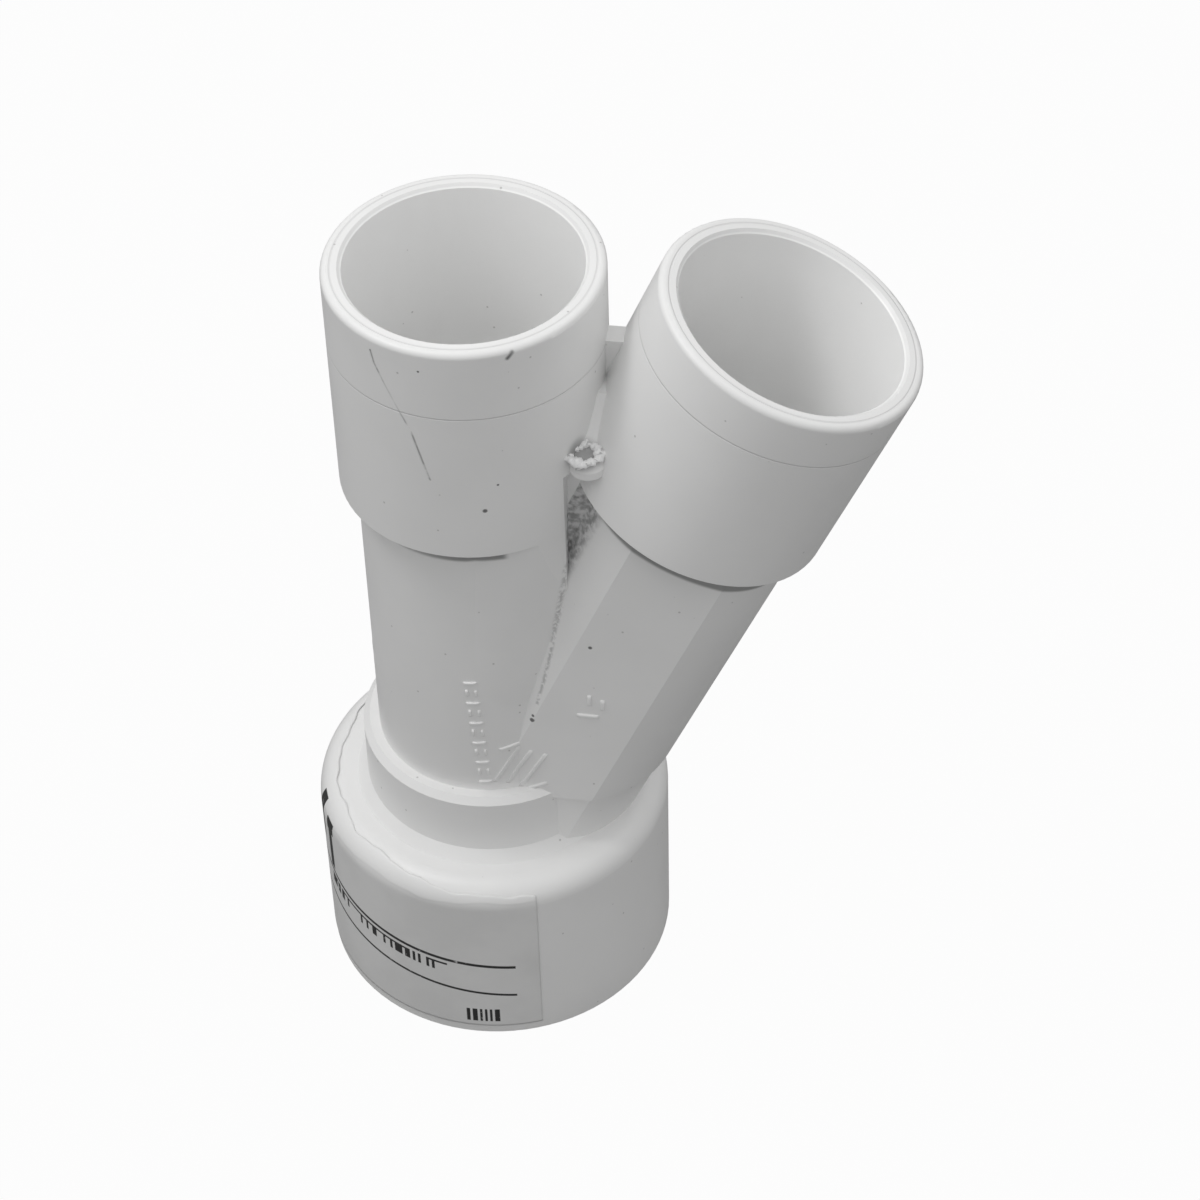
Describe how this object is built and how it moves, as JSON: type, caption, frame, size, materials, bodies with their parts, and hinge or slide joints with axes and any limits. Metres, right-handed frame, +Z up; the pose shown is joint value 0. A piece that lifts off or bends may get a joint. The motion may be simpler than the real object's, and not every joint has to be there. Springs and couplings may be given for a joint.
{
  "type": "lateral wye fitting",
  "caption": "White PVC lateral wye pipe fitting: upright run on a wide base socket, with a slanting side branch and a label on the base.",
  "frame": {"origin": "centre of the base rim, on the run's axis", "axes": "+Z up along the run, the branch leans from it towards +X"},
  "size_m": [0.1638, 0.0989, 0.2454],
  "materials": {
    "pvc": "satin moulded white PVC",
    "label": "thin self-adhesive film, semi-matte"
  },
  "bodies": {
    "root": {"wye_body": "pvc", "hub_label": "label"}
  },
  "joints": []
}
